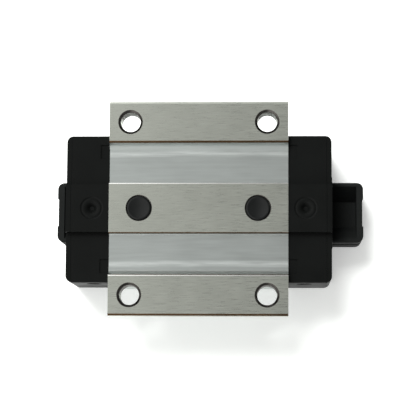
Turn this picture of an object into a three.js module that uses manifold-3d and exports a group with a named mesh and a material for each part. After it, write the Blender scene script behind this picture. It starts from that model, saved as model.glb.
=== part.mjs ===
// Flanged linear guide carriage, size 15, on its transport arbor.
// Millimetres. +X along the rail, +Y towards the left flange, +Z up.
// The origin is the centre of the top mounting face.
// Front is +X, rear is -X, left is +Y, right is -Y.

import * as THREE from "three";
import { mergeVertices } from "three/addons/utils/BufferGeometryUtils.js";
import Module from "manifold-3d";

// ---------------------------------------------------------------- driving dimensions

const FIT = 0.05; // gap between pieces that sit against each other

// Steel body
const BODY_HALF_LENGTH = 19.6;
const PAD_HALF = 5.5; // raised strip down the middle of the top
const PAD_CHAMFER = 0.2;
const GROOVE_FLOOR = -1.7;
const GROOVE_RADIUS = 2.2; // run-out of each top groove into the flange
const GROOVE_RADIUS_Y = 12.35;
const FLANGE_HALF = 23.5;
const FLANGE_BOTTOM = -5.2;
const FLANGE_CHAMFER = 0.45;
const BODY_HALF = 16.4; // below the flanges
const BODY_BOTTOM = -19.9;
const BODY_CHAMFER = 1.1;
const BODY_FILLET = 0.4;
const CHANNEL_ROOF = -6.9;
const BALL_RELIEF_TOP = -6.2; // step in the roof over the upper balls
const BALL_RELIEF_HALF = 5.9;
const CHANNEL_HALF = 7.9;
const SEAL_SEAT_HALF = 9.9;
const SEAL_SEAT_TOP = -18.4;

// Mounting holes
const HOLE_X = 15;
const HOLE_Y = 19;
const HOLE_RADIUS = 2.15;
const HOLE_CHAMFER_RADIUS = 2.7;
const HOLE_CHAMFER_DEPTH = 0.55;
const HOLE_RELIEF_RADIUS = 2.4; // small chamfer on the underside
const HOLE_RELIEF_DEPTH = 0.25;
const CENTRE_HOLE_X = 13;
const CENTRE_BORE_BOTTOM = -5.8;
const CENTRE_COUNTERBORE_RADIUS = 2.75;
const CENTRE_COUNTERBORE_DEPTH = 1;
const PLUG_TOP = -0.08;
const PLUG_BOTTOM = -3.4;
const PLUG_TAPER = 0.2;
const PLUG_BORE_RADIUS = 1.4;
const PLUG_BORE_TOP = -1.2;

// Rail that the carriage runs on, and the four ball rows
const RAIL_TOP = -7.8;
const RAIL_HALF = 7.5;
const RAIL_TOP_HALF = 5.9;
const BALL_RADIUS = 1.5875;
const RACEWAY_RADIUS = 1.65;
const ROW_Y = 8.05;
const RETURN_Y = 13.2;
const UPPER_ROW_Z = -8;
const LOWER_ROW_Z = -13.2;
const TURN_X = 20.4;
const TURN_Y = (ROW_Y + RETURN_Y) / 2;
const TURN_RADIUS = (RETURN_Y - ROW_Y) / 2;
const BALLS_PER_LOOP = 28;
const LINK_HALF = 0.4;

// Bearing plates, retainers, return tubes, side seals
const PLATE_OUTER = 10.4;
const PLATE_TOP = -5.7;
const PLATE_BOTTOM = -15.5;
const RACEWAY_SWEEP = 100; // degrees of raceway arc on the outer side of the horizontal
const RACEWAY_INNER_SWEEP = 10; // and on the side towards the other row
const TUBE_OUTER_RADIUS = 2.1;
const TUBE_INNER_RADIUS = 1.75;
const RETAINER_NOSE = 7.75;
const RETAINER_BACK = 9.4;
const RETAINER_RADIUS = 1.7;
const SIDE_LIP_GAP = 0.15; // between a side seal's lip and the rail
const SIDE_LIP_THICKNESS = 0.4;
const SIDE_SEAL_LIFT = 0.2; // above the body's foot
const SIDE_SEAL_SLOPE = 0.3;

// Ball turn: a spool with a slot that holds the felt
const SPOOL_RIM = 4.2;
const SPOOL_GROOVE_RADIUS = 1.7;
const SPOOL_RAIL_GAP = 0.3;
const FELT_SLOT_TOP = -10;
const FELT_SLOT_BOTTOM = -11.2;
const FELT_SLOT_CORE = 1.6;
const FELT_GAP = 0.1;

// End cap, cover plate and end seal
const CAP_INNER_X = BODY_HALF_LENGTH + FIT;
const CAP_OUTER_X = 28;
const COVER_OUTER_X = 29.1;
const LIP_OUTER_X = 29.45;
const CAP_HALF = 16.2;
const CAP_TOP = -1.9;
const CAP_BLOCK_HALF = 5.25;
const CAP_BLOCK_TOP = -0.3;
const CAP_TAPER_Z = -17.6;
const CAP_FOOT_HALF = 15.2;
const CAP_BOTTOM = -19.6;
const CAP_CORNER_RADIUS = 1.5;
const CAP_EDGE = 0.3; // chamfer along the cap's upper edges
const CAP_RAIL_GAP = 0.4;
const POCKET_RADIUS = 4.325;
const POCKET_TOP = -6;
const POCKET_BOTTOM = -15.2;
const TOP_PORT_X = 23.4; // closed lubrication port in the cap's top
const TOP_PORT_RADIUS = 2.55;
const TOP_PORT_RECESS = 0.2;
const TOP_PORT_DIMPLE = { mouth: 1.1, tip: 0.3, depth: 1.1 };
const SIDE_PORT_X = 23.1;
const SIDE_PORT_Z = -5.6;
const SIDE_PORT_DEPTH = 2;
const FEED = { radius: 0.4, inner: 2.5, outer: 1.9, drop: 0.9 }; // side port to ball turn
const DUCT = { depth: 0.9, half: 0.6, reach: 7, top: -5.8, bottom: -6.8 }; // end port to the turns
const CLIP_NOTCH = { inner: 11, outer: 14, length: 2, depth: 0.3 };
const END_PORT_Z = -4.2;
const PORT_BORE_RADIUS = 1.5;
const PORT_SCREW_RADIUS = 1.4;
const SEAL_PLATE_HALF = 9.6;
const SEAL_PLATE_TOP = -6.6;
const SEAL_PLATE_BOTTOM = -19.3;
const SEAL_PLATE_X = 28.6;
const LIP_GAP = 0.08;
const LIP_THICKNESS = 0.42;
const COVER_OPENING_HALF = 8.6;
const COVER_OPENING_TOP = -6.9;
const COVER_OPENING_CORNER = 1;

// Screws that hold each end assembly on the body
const UPPER_SCREW = { y: 6.4, z: -4.2, shank: 1.2, head: 1.9, socket: 0.85 };
const LOWER_SCREW = { y: 12, z: -17.5, shank: 0.95, head: 1.7, socket: 0.7 };
const SCREW_TIP_X = 14.2;
const SCREW_HEAD_X = 28.45;
const SCREW_TOP_X = 29.05;
const SCREW_SOCKET_DEPTH = 0.45;
const SHANK_CLEARANCE = 0.15;
const HEAD_CLEARANCE = 0.1;
const END_PORT_SCREW = { sink: 0.3, length: 3.4, socket: 1.4 };
const SIDE_PORT_SCREW = { sink: 0.2, length: 1.6, socket: 0.8 };
const PORT_SOCKET_RADIUS = 0.8;

// Transport arbor
const ARBOR_REAR = -31.9;
const ARBOR_FRONT = 36.3;
const ARBOR_TOP = -8.8;
const ARBOR_BOTTOM = -19.6;
const ARBOR_HALF = 6.7;
const ARBOR_GROOVE_RADIUS = 1.8;
const ARBOR_SHOULDER = -8.95;
const ARBOR_RIM_HALF = 6.3;
const ARBOR_CORNER_RADIUS = 1.5;
const ARBOR_END_WALL = 1.5;
const TROUGH_RIM_HALF = 5.85;
const TROUGH_FLOOR_HALF = 2.85;
const TROUGH_FLOOR = -13.5;
const ARBOR_FLOOR_THICKNESS = 1.3;
const ARBOR_LEG_INNER = 5.4;
const ARBOR_POCKETS = 4;
const ARBOR_RIB = 1.2;

const CIRCLE_SIDES = 16;
const SMALL_CIRCLE_SIDES = 10;
const FINE_CIRCLE_SIDES = 8;
const SPOOL_SIDES = 14;
const HEX_SIDES = 6;
const ARC_STEPS = 4;
const RACEWAY_STEPS = 6;
const TURN_STEPS = 6;
const POCKET_STEPS = 8;
const WELD_DISTANCE = 1e-4;
const PAST = 1; // how far a cutter runs past the face it opens

// ---------------------------------------------------------------- solids

const wasm = await Module();
wasm.setup();

function toSolid(geometry) {
  geometry.deleteAttribute("normal");
  geometry.deleteAttribute("uv");
  const merged = mergeVertices(geometry, WELD_DISTANCE);
  const mesh = new wasm.Mesh({
    numProp: 3,
    vertProperties: Float32Array.from(merged.attributes.position.array),
    triVerts: Uint32Array.from(merged.index.array),
  });
  return new wasm.Manifold(mesh);
}

// The geometry of a solid, mirrored to the rear when end is -1 and to the right when side is -1.
function toGeometry(solid, end = 1, side = 1) {
  const mesh = solid.getMesh();
  const geometry = new THREE.BufferGeometry();
  geometry.setAttribute("position", new THREE.BufferAttribute(mesh.vertProperties.slice(), 3));
  const triangles = mesh.triVerts.slice();
  if (end * side < 0) {
    for (let i = 0; i < triangles.length; i += 3) {
      [triangles[i], triangles[i + 1]] = [triangles[i + 1], triangles[i]];
    }
  }
  geometry.setIndex(new THREE.BufferAttribute(triangles, 1));
  geometry.scale(end, side, 1);
  geometry.computeVertexNormals();
  return geometry;
}

function block(x0, x1, y0, y1, z0, z1) {
  const geometry = new THREE.BoxGeometry(x1 - x0, y1 - y0, z1 - z0);
  geometry.translate((x0 + x1) / 2, (y0 + y1) / 2, (z0 + z1) / 2);
  return toSolid(geometry);
}

function rodX(radius, x0, x1, y, z, sides = SMALL_CIRCLE_SIDES) {
  const geometry = new THREE.CylinderGeometry(radius, radius, x1 - x0, sides);
  geometry.rotateZ(Math.PI / 2);
  geometry.translate((x0 + x1) / 2, y, z);
  return toSolid(geometry);
}

function rodY(radius, y0, y1, x, z, sides = SMALL_CIRCLE_SIDES) {
  const geometry = new THREE.CylinderGeometry(radius, radius, y1 - y0, sides);
  geometry.translate(x, (y0 + y1) / 2, z);
  return toSolid(geometry);
}

// A cone or cylinder standing on z0, with one radius at each end.
function coneZ(bottomRadius, topRadius, z0, z1, x, y, sides = CIRCLE_SIDES) {
  const geometry = new THREE.CylinderGeometry(topRadius, bottomRadius, z1 - z0, sides);
  geometry.rotateX(Math.PI / 2);
  geometry.translate(x, y, (z0 + z1) / 2);
  return toSolid(geometry);
}

// A cross-section in the YZ plane, run along X.
function extrudeX(outline, x0, x1) {
  const shape = new THREE.Shape(outline);
  const geometry = new THREE.ExtrudeGeometry(shape, { depth: x1 - x0, bevelEnabled: false });
  const yzToX = new THREE.Matrix4().makeBasis(
    new THREE.Vector3(0, 1, 0),
    new THREE.Vector3(0, 0, 1),
    new THREE.Vector3(1, 0, 0),
  );
  geometry.applyMatrix4(yzToX);
  geometry.translate(x0, 0, 0);
  return toSolid(geometry);
}

// A plan outline in the XY plane, run up Z.
function extrudeZ(outline, z0, z1) {
  const shape = new THREE.Shape(outline);
  const geometry = new THREE.ExtrudeGeometry(shape, { depth: z1 - z0, bevelEnabled: false });
  geometry.translate(0, 0, z0);
  return toSolid(geometry);
}

// A profile of (radius, height) points turned about the vertical line through x, y.
function turned(profile, x, y, sides) {
  const geometry = new THREE.LatheGeometry(profile, sides);
  geometry.rotateX(Math.PI / 2);
  geometry.translate(x, y, 0);
  return toSolid(geometry);
}

function join(solids) {
  return solids.reduce((whole, solid) => whole.add(solid));
}

function cut(solid, cutters) {
  return solid.subtract(join(cutters));
}

// The span from near to far on the given side (1 or -1) of zero, in rising order.
function onSide(side, near, far) {
  return side > 0 ? [near, far] : [-far, -near];
}

// ---------------------------------------------------------------- outlines

const at = (a, b) => new THREE.Vector2(a, b);

function arc(centreA, centreB, radius, startDegrees, endDegrees, steps = ARC_STEPS) {
  const points = [];
  for (let i = 0; i <= steps; i += 1) {
    const angle = THREE.MathUtils.degToRad(startDegrees + ((endDegrees - startDegrees) * i) / steps);
    points.push(at(centreA + radius * Math.cos(angle), centreB + radius * Math.sin(angle)));
  }
  return points;
}

// A whole outline from its left half, which starts and ends beside the centre plane.
function symmetric(half) {
  const right = half.map((p) => at(-p.x, p.y)).reverse();
  return [...half, ...right];
}

// Left half of the guide rail's section, from its top down: a groove for each ball row.
function railHalf({ radius, ridge, top, topHalf, shoulder, bottom }) {
  const start = 180 + THREE.MathUtils.radToDeg(Math.asin((UPPER_ROW_Z - shoulder) / radius));
  const meet = THREE.MathUtils.radToDeg(Math.acos((ridge - ROW_Y) / radius));
  return [
    at(topHalf, top),
    ...arc(ROW_Y, UPPER_ROW_Z, radius, start, 360 - meet),
    ...arc(ROW_Y, LOWER_ROW_Z, radius, meet, 360 - meet),
    at(ridge, bottom),
  ];
}

// The rail's section grown all round by a gap, down to the given height.
function railWithGap(gap, bottom) {
  return railHalf({
    radius: RACEWAY_RADIUS - gap,
    ridge: RAIL_HALF + gap,
    top: RAIL_TOP + gap,
    topHalf: RAIL_TOP_HALF + gap,
    shoulder: UPPER_ROW_Z,
    bottom,
  });
}

function railCutter(gap, x0, x1) {
  return extrudeX(symmetric(railWithGap(gap, BODY_BOTTOM - PAST)), x0, x1);
}

function arbor() {
  const outline = railHalf({
    radius: ARBOR_GROOVE_RADIUS,
    ridge: ARBOR_HALF,
    top: ARBOR_TOP,
    topHalf: ARBOR_RIM_HALF,
    shoulder: ARBOR_SHOULDER,
    bottom: ARBOR_BOTTOM,
  });
  const bar = extrudeX(symmetric(outline), ARBOR_REAR, ARBOR_FRONT);
  const corner = ARBOR_CORNER_RADIUS;
  const plan = [
    ...arc(ARBOR_FRONT - corner, ARBOR_HALF - corner, corner, 90, 0),
    ...arc(ARBOR_FRONT - corner, corner - ARBOR_HALF, corner, 0, -90),
    ...arc(ARBOR_REAR + corner, corner - ARBOR_HALF, corner, -90, -180),
    ...arc(ARBOR_REAR + corner, ARBOR_HALF - corner, corner, 180, 90),
  ];
  const rounded = bar.intersect(extrudeZ(plan, ARBOR_BOTTOM - PAST, ARBOR_TOP + PAST));

  const slope = (TROUGH_RIM_HALF - TROUGH_FLOOR_HALF) / (ARBOR_TOP - TROUGH_FLOOR);
  const trough = symmetric([
    at(TROUGH_RIM_HALF + slope * PAST, ARBOR_TOP + PAST),
    at(TROUGH_FLOOR_HALF, TROUGH_FLOOR),
  ]);
  const insideRear = ARBOR_REAR + ARBOR_END_WALL;
  const insideFront = ARBOR_FRONT - ARBOR_END_WALL;
  const cutters = [extrudeX(trough, insideRear, insideFront)];

  const pitch = (insideFront - insideRear + ARBOR_RIB) / ARBOR_POCKETS;
  const roof = TROUGH_FLOOR - ARBOR_FLOOR_THICKNESS;
  for (let i = 0; i < ARBOR_POCKETS; i += 1) {
    const x0 = insideRear + i * pitch;
    cutters.push(
      block(x0, x0 + pitch - ARBOR_RIB, -ARBOR_LEG_INNER, ARBOR_LEG_INNER, ARBOR_BOTTOM - PAST, roof),
    );
  }
  return cut(rounded, cutters);
}

// ---------------------------------------------------------------- steel body

function bodyOutline() {
  const grooveCentre = GROOVE_FLOOR + GROOVE_RADIUS;
  const grooveEnd = Math.asin(-(grooveCentre + FLANGE_CHAMFER) / GROOVE_RADIUS);
  const flangeInner = GROOVE_RADIUS_Y + GROOVE_RADIUS * Math.cos(grooveEnd) + FLANGE_CHAMFER;
  const grooveEndDegrees = THREE.MathUtils.radToDeg(grooveEnd);
  return symmetric([
    at(PAD_HALF - PAD_CHAMFER, 0),
    at(PAD_HALF, -PAD_CHAMFER),
    at(PAD_HALF, GROOVE_FLOOR),
    ...arc(GROOVE_RADIUS_Y, grooveCentre, GROOVE_RADIUS, -90, grooveEndDegrees),
    at(flangeInner, 0),
    at(FLANGE_HALF - FLANGE_CHAMFER, 0),
    at(FLANGE_HALF, -FLANGE_CHAMFER),
    at(FLANGE_HALF, FLANGE_BOTTOM + FLANGE_CHAMFER),
    at(FLANGE_HALF - FLANGE_CHAMFER, FLANGE_BOTTOM),
    at(BODY_HALF + BODY_FILLET, FLANGE_BOTTOM),
    at(BODY_HALF, FLANGE_BOTTOM - BODY_FILLET),
    at(BODY_HALF, BODY_BOTTOM + BODY_CHAMFER),
    at(BODY_HALF - BODY_CHAMFER, BODY_BOTTOM),
    at(SEAL_SEAT_HALF, BODY_BOTTOM),
    at(SEAL_SEAT_HALF, SEAL_SEAT_TOP),
    at(CHANNEL_HALF, SEAL_SEAT_TOP),
    at(CHANNEL_HALF, PLATE_BOTTOM - FIT),
    at(PLATE_OUTER + FIT, PLATE_BOTTOM - FIT),
    at(PLATE_OUTER + FIT, PLATE_TOP + FIT),
    at(RETAINER_NOSE - FIT, PLATE_TOP + FIT),
    at(RETAINER_NOSE - FIT, BALL_RELIEF_TOP),
    at(BALL_RELIEF_HALF, BALL_RELIEF_TOP),
    at(BALL_RELIEF_HALF, CHANNEL_ROOF),
  ]);
}

function mountingHole(x, y) {
  const reliefTop = FLANGE_BOTTOM + HOLE_RELIEF_DEPTH;
  return join([
    coneZ(HOLE_RADIUS, HOLE_RADIUS, FLANGE_BOTTOM - PAST, PAST, x, y),
    coneZ(HOLE_RADIUS, HOLE_CHAMFER_RADIUS, -HOLE_CHAMFER_DEPTH, 0, x, y),
    coneZ(HOLE_RELIEF_RADIUS, HOLE_RADIUS, FLANGE_BOTTOM, reliefTop, x, y),
  ]);
}

function centreHole(x) {
  const counterbore = CENTRE_COUNTERBORE_RADIUS;
  return join([
    coneZ(HOLE_RADIUS, HOLE_RADIUS, CENTRE_BORE_BOTTOM, PAST, x, 0),
    coneZ(counterbore, counterbore, -CENTRE_COUNTERBORE_DEPTH, PAST, x, 0),
  ]);
}

function carriageBody() {
  const blank = extrudeX(bodyOutline(), -BODY_HALF_LENGTH, BODY_HALF_LENGTH);
  const cutters = [];
  const returnBore = TUBE_OUTER_RADIUS + FIT;
  for (const side of [1, -1]) {
    for (const z of [UPPER_ROW_Z, LOWER_ROW_Z]) {
      const reach = BODY_HALF_LENGTH + PAST;
      cutters.push(rodX(returnBore, -reach, reach, side * RETURN_Y, z, CIRCLE_SIDES));
    }
    for (const end of [1, -1]) {
      cutters.push(mountingHole(end * HOLE_X, side * HOLE_Y));
      for (const screw of [UPPER_SCREW, LOWER_SCREW]) {
        const bore = onSide(end, SCREW_TIP_X - FIT, BODY_HALF_LENGTH + PAST);
        cutters.push(rodX(screw.shank + FIT, ...bore, side * screw.y, screw.z));
      }
    }
  }
  cutters.push(centreHole(CENTRE_HOLE_X), centreHole(-CENTRE_HOLE_X));
  return cut(blank, cutters);
}

// A cap that closes a centre hole: a flat head over a short hollow shank, at the front hole.
function centrePlug() {
  const head = CENTRE_COUNTERBORE_RADIUS - FIT;
  const shank = HOLE_RADIUS - FIT;
  const seat = FIT - CENTRE_COUNTERBORE_DEPTH;
  const bore = PLUG_BORE_RADIUS;
  const outside = join([
    coneZ(head, head, seat, PLUG_TOP, CENTRE_HOLE_X, 0),
    coneZ(shank - PLUG_TAPER, shank, PLUG_BOTTOM, seat, CENTRE_HOLE_X, 0),
  ]);
  const hollow = coneZ(bore, bore, PLUG_BOTTOM - PAST, PLUG_BORE_TOP, CENTRE_HOLE_X, 0, SMALL_CIRCLE_SIDES);
  return outside.subtract(hollow);
}

// ---------------------------------------------------------------- ball tracks (left side)

function bearingPlate() {
  const reach = BODY_HALF_LENGTH - FIT;
  const tip = ROW_Y + RACEWAY_RADIUS * Math.cos(THREE.MathUtils.degToRad(RACEWAY_SWEEP));
  const outline = [
    at(tip, PLATE_TOP),
    at(PLATE_OUTER, PLATE_TOP),
    at(PLATE_OUTER, PLATE_BOTTOM),
    at(tip, PLATE_BOTTOM),
    ...arc(ROW_Y, LOWER_ROW_Z, RACEWAY_RADIUS, -RACEWAY_SWEEP, RACEWAY_INNER_SWEEP, RACEWAY_STEPS),
    ...arc(ROW_Y, UPPER_ROW_Z, RACEWAY_RADIUS, -RACEWAY_INNER_SWEEP, RACEWAY_SWEEP, RACEWAY_STEPS),
  ];
  return extrudeX(outline, -reach, reach);
}

// The strip between the two loaded rows, hollowed along both.
function ballRetainer() {
  const reach = BODY_HALF_LENGTH - FIT;
  const nose = THREE.MathUtils.radToDeg(Math.acos((RETAINER_NOSE - ROW_Y) / RETAINER_RADIUS));
  const back = THREE.MathUtils.radToDeg(Math.acos((RETAINER_BACK - ROW_Y) / RETAINER_RADIUS));
  const outline = [
    ...arc(ROW_Y, UPPER_ROW_Z, RETAINER_RADIUS, -nose, -back),
    ...arc(ROW_Y, LOWER_ROW_Z, RETAINER_RADIUS, back, nose),
  ];
  return extrudeX(outline, -reach, reach);
}

function returnTube(z) {
  const reach = BODY_HALF_LENGTH - FIT;
  const outer = rodX(TUBE_OUTER_RADIUS, -reach, reach, RETURN_Y, z, CIRCLE_SIDES);
  const inner = rodX(TUBE_INNER_RADIUS, -reach - PAST, reach + PAST, RETURN_Y, z, CIRCLE_SIDES);
  return outer.subtract(inner);
}

// The point a distance s along a ball loop's centre line, counted from the loaded row's rear end.
function loopPoint(s) {
  const straight = 2 * TURN_X;
  const turn = Math.PI * TURN_RADIUS;
  if (s < straight) {
    return at(s - TURN_X, ROW_Y);
  }
  if (s < straight + turn) {
    const angle = (s - straight) / TURN_RADIUS;
    return at(TURN_X + TURN_RADIUS * Math.sin(angle), TURN_Y - TURN_RADIUS * Math.cos(angle));
  }
  if (s < 2 * straight + turn) {
    return at(TURN_X - (s - straight - turn), RETURN_Y);
  }
  const angle = (s - 2 * straight - turn) / TURN_RADIUS;
  return at(-TURN_X - TURN_RADIUS * Math.sin(angle), TURN_Y + TURN_RADIUS * Math.cos(angle));
}

function stadium(radius) {
  return [
    ...arc(TURN_X, TURN_Y, radius, -90, 90, TURN_STEPS),
    ...arc(-TURN_X, TURN_Y, radius, 90, 270, TURN_STEPS),
  ];
}

// One endless loop of balls on their spacer band.
function ballChain(z) {
  const outer = extrudeZ(stadium(TURN_RADIUS + LINK_HALF), z - LINK_HALF, z + LINK_HALF);
  const inner = extrudeZ(stadium(TURN_RADIUS - LINK_HALF), z - PAST, z + PAST);
  const pitch = (4 * TURN_X + 2 * Math.PI * TURN_RADIUS) / BALLS_PER_LOOP;
  const solids = [outer.subtract(inner)];
  for (let i = 0; i < BALLS_PER_LOOP; i += 1) {
    const centre = loopPoint(i * pitch);
    const ball = new THREE.IcosahedronGeometry(BALL_RADIUS, 0);
    ball.translate(centre.x, centre.y, z);
    solids.push(toSolid(ball));
  }
  return join(solids);
}

function sideSeal() {
  const reach = BODY_HALF_LENGTH - FIT;
  const lip = RAIL_HALF + SIDE_LIP_GAP;
  const outer = SEAL_SEAT_HALF - FIT;
  const top = SEAL_SEAT_TOP - FIT;
  const bottom = BODY_BOTTOM + SIDE_SEAL_LIFT;
  const outline = [
    at(outer, top),
    at(outer, bottom),
    at(lip, bottom),
    at(lip, bottom + SIDE_LIP_THICKNESS),
    at(CHANNEL_HALF + SIDE_SEAL_SLOPE, top),
  ];
  return extrudeX(outline, -reach, reach);
}

// ---------------------------------------------------------------- ball turn (front left)

// A turned shape trimmed to the end cap's side of the body and clear of the rail.
function trimmedTurn(solid) {
  const capSpace = block(CAP_INNER_X + FIT, CAP_OUTER_X, 0, CAP_HALF, CAP_BOTTOM, CAP_TOP);
  return cut(solid.intersect(capSpace), [railCutter(SPOOL_RAIL_GAP, CAP_INNER_X - PAST, CAP_OUTER_X)]);
}

// Spool that carries the inside of both turns, with a slot for the felt between them.
function returnGuide() {
  const rim = SPOOL_RIM;
  const groove = SPOOL_GROOVE_RADIUS;
  const bottom = POCKET_BOTTOM + FIT;
  const top = POCKET_TOP - FIT;
  const profile = [
    at(0, bottom),
    at(rim, bottom),
    at(rim, LOWER_ROW_Z - groove),
    ...arc(TURN_RADIUS, LOWER_ROW_Z, groove, 270, 90),
    at(rim, LOWER_ROW_Z + groove),
    at(rim, FELT_SLOT_BOTTOM),
    at(FELT_SLOT_CORE, FELT_SLOT_BOTTOM),
    at(FELT_SLOT_CORE, FELT_SLOT_TOP),
    at(rim, FELT_SLOT_TOP),
    at(rim, UPPER_ROW_Z - groove),
    ...arc(TURN_RADIUS, UPPER_ROW_Z, groove, 270, 90),
    at(rim, UPPER_ROW_Z + groove),
    at(rim, top),
    at(0, top),
  ];
  return trimmedTurn(turned(profile, TURN_X, TURN_Y, SPOOL_SIDES));
}

function lubeInsert() {
  const inner = FELT_SLOT_CORE + FELT_GAP;
  const outer = SPOOL_RIM - FIT;
  const bottom = FELT_SLOT_BOTTOM + FELT_GAP;
  const top = FELT_SLOT_TOP - FELT_GAP;
  const profile = [at(inner, bottom), at(outer, bottom), at(outer, top), at(inner, top), at(inner, bottom)];
  return trimmedTurn(turned(profile, TURN_X, TURN_Y, SPOOL_SIDES));
}

// ---------------------------------------------------------------- end assembly (front)

function capSection() {
  return [
    at(CAP_BLOCK_HALF, CAP_BLOCK_TOP),
    at(CAP_BLOCK_HALF, CAP_TOP),
    at(CAP_HALF - CAP_EDGE, CAP_TOP),
    at(CAP_HALF, CAP_TOP - CAP_EDGE),
    at(CAP_HALF, CAP_TAPER_Z),
    at(CAP_FOOT_HALF, CAP_BOTTOM),
  ];
}

// A piece of the end assembly with the assembly's two outer corners rounded.
function withRoundedCorners(solid) {
  const centre = COVER_OUTER_X - CAP_CORNER_RADIUS;
  const plan = symmetric([
    at(CAP_HALF + PAST, CAP_INNER_X - PAST),
    at(CAP_HALF + PAST, centre),
    ...arc(CAP_HALF - CAP_CORNER_RADIUS, centre, CAP_CORNER_RADIUS, 0, 90),
  ]).map((p) => at(p.y, p.x));
  return solid.intersect(extrudeZ(plan, CAP_BOTTOM - PAST, PAST));
}

function turnPocket(side) {
  const plan = [
    at(CAP_INNER_X - PAST, -POCKET_RADIUS),
    ...arc(TURN_X, 0, POCKET_RADIUS, -90, 90, POCKET_STEPS),
    at(CAP_INNER_X - PAST, POCKET_RADIUS),
  ].map((p) => at(p.x, p.y + side * TURN_Y));
  return extrudeZ(plan, POCKET_BOTTOM, POCKET_TOP);
}

function endCap() {
  const outline = [...capSection(), ...railWithGap(CAP_RAIL_GAP, CAP_BOTTOM).reverse()];
  const blank = withRoundedCorners(extrudeX(symmetric(outline), CAP_INNER_X, CAP_OUTER_X));
  const back = CAP_INNER_X - PAST;
  const out = CAP_OUTER_X + PAST;
  const duct = CAP_INNER_X + DUCT.depth;
  const portFloor = CAP_BLOCK_TOP - TOP_PORT_RECESS;
  const dimpleTip = CAP_BLOCK_TOP - TOP_PORT_DIMPLE.depth;
  const { tip, mouth } = TOP_PORT_DIMPLE;
  const notchEnd = CAP_INNER_X + CLIP_NOTCH.length;
  const cutters = [
    rodX(PORT_BORE_RADIUS, back, out, 0, END_PORT_Z),
    block(back, duct, -DUCT.half, DUCT.half, DUCT.bottom, END_PORT_Z),
    block(back, duct, -DUCT.reach, DUCT.reach, DUCT.bottom, DUCT.top),
    coneZ(TOP_PORT_RADIUS, TOP_PORT_RADIUS, portFloor, PAST, TOP_PORT_X, 0),
    coneZ(tip, mouth, dimpleTip, portFloor, TOP_PORT_X, 0, SMALL_CIRCLE_SIDES),
  ];
  for (const side of [1, -1]) {
    const bore = onSide(side, CAP_HALF - SIDE_PORT_DEPTH, CAP_HALF + PAST);
    const feed = onSide(side, TURN_Y + FEED.inner, CAP_HALF - FEED.outer);
    const notch = onSide(side, CLIP_NOTCH.inner, CLIP_NOTCH.outer);
    cutters.push(
      turnPocket(side),
      rodX(UPPER_SCREW.shank + SHANK_CLEARANCE, back, out, side * UPPER_SCREW.y, UPPER_SCREW.z),
      rodX(LOWER_SCREW.shank + SHANK_CLEARANCE, back, out, side * LOWER_SCREW.y, LOWER_SCREW.z),
      rodY(PORT_BORE_RADIUS, ...bore, SIDE_PORT_X, SIDE_PORT_Z),
      rodY(FEED.radius, ...feed, SIDE_PORT_X, SIDE_PORT_Z - FEED.drop, FINE_CIRCLE_SIDES),
      block(back, notchEnd, ...notch, CAP_TOP - CLIP_NOTCH.depth, CAP_TOP + PAST),
    );
  }
  return cut(blank, cutters);
}

function coverPlate() {
  const inner = CAP_OUTER_X + FIT;
  const opening = [
    at(CAP_FOOT_HALF, CAP_BOTTOM),
    at(COVER_OPENING_HALF, CAP_BOTTOM),
    at(COVER_OPENING_HALF, COVER_OPENING_TOP - COVER_OPENING_CORNER),
    at(COVER_OPENING_HALF - COVER_OPENING_CORNER, COVER_OPENING_TOP),
  ];
  const outline = [...capSection().slice(0, -1), ...opening];
  const blank = withRoundedCorners(extrudeX(symmetric(outline), inner, COVER_OUTER_X));
  const out = COVER_OUTER_X + PAST;
  const seat = SEAL_PLATE_HALF + FIT;
  const cutters = [
    rodX(PORT_BORE_RADIUS, inner - PAST, out, 0, END_PORT_Z),
    block(inner - PAST, SEAL_PLATE_X + FIT, -seat, seat, CAP_BOTTOM - PAST, SEAL_PLATE_TOP + FIT),
  ];
  for (const side of [1, -1]) {
    for (const screw of [UPPER_SCREW, LOWER_SCREW]) {
      const y = side * screw.y;
      const seatRadius = screw.head + HEAD_CLEARANCE;
      cutters.push(rodX(screw.shank + SHANK_CLEARANCE, inner - PAST, out, y, screw.z));
      cutters.push(rodX(seatRadius, SCREW_HEAD_X - FIT, out, y, screw.z, CIRCLE_SIDES));
    }
  }
  return cut(blank, cutters);
}

// Rubber wiper: a flat plate behind the cover and a lip that follows the rail.
function endSeal() {
  const inside = railWithGap(LIP_GAP, SEAL_PLATE_BOTTOM).reverse();
  const plate = symmetric([
    at(SEAL_PLATE_HALF, SEAL_PLATE_TOP),
    at(SEAL_PLATE_HALF, SEAL_PLATE_BOTTOM),
    ...inside,
  ]);
  const lip = symmetric([
    ...railWithGap(LIP_GAP + LIP_THICKNESS, SEAL_PLATE_BOTTOM),
    ...inside,
  ]);
  const back = CAP_OUTER_X + FIT;
  return extrudeX(plate, back, SEAL_PLATE_X).add(extrudeX(lip, back, LIP_OUTER_X));
}

function capScrew(screw) {
  const { y, z } = screw;
  const socketFloor = SCREW_TOP_X - SCREW_SOCKET_DEPTH;
  const socket = rodX(screw.socket, socketFloor, SCREW_TOP_X + PAST, y, z, HEX_SIDES);
  const head = rodX(screw.head, SCREW_HEAD_X, SCREW_TOP_X, y, z, CIRCLE_SIDES);
  const shank = rodX(screw.shank, SCREW_TIP_X, SCREW_HEAD_X + FIT, y, z);
  return head.add(shank).subtract(socket);
}

function endPortScrew() {
  const { sink, length, socket } = END_PORT_SCREW;
  const top = COVER_OUTER_X - sink;
  const body = rodX(PORT_SCREW_RADIUS, top - length, top, 0, END_PORT_Z);
  return body.subtract(rodX(PORT_SOCKET_RADIUS, top - socket, top + PAST, 0, END_PORT_Z, HEX_SIDES));
}

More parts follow.
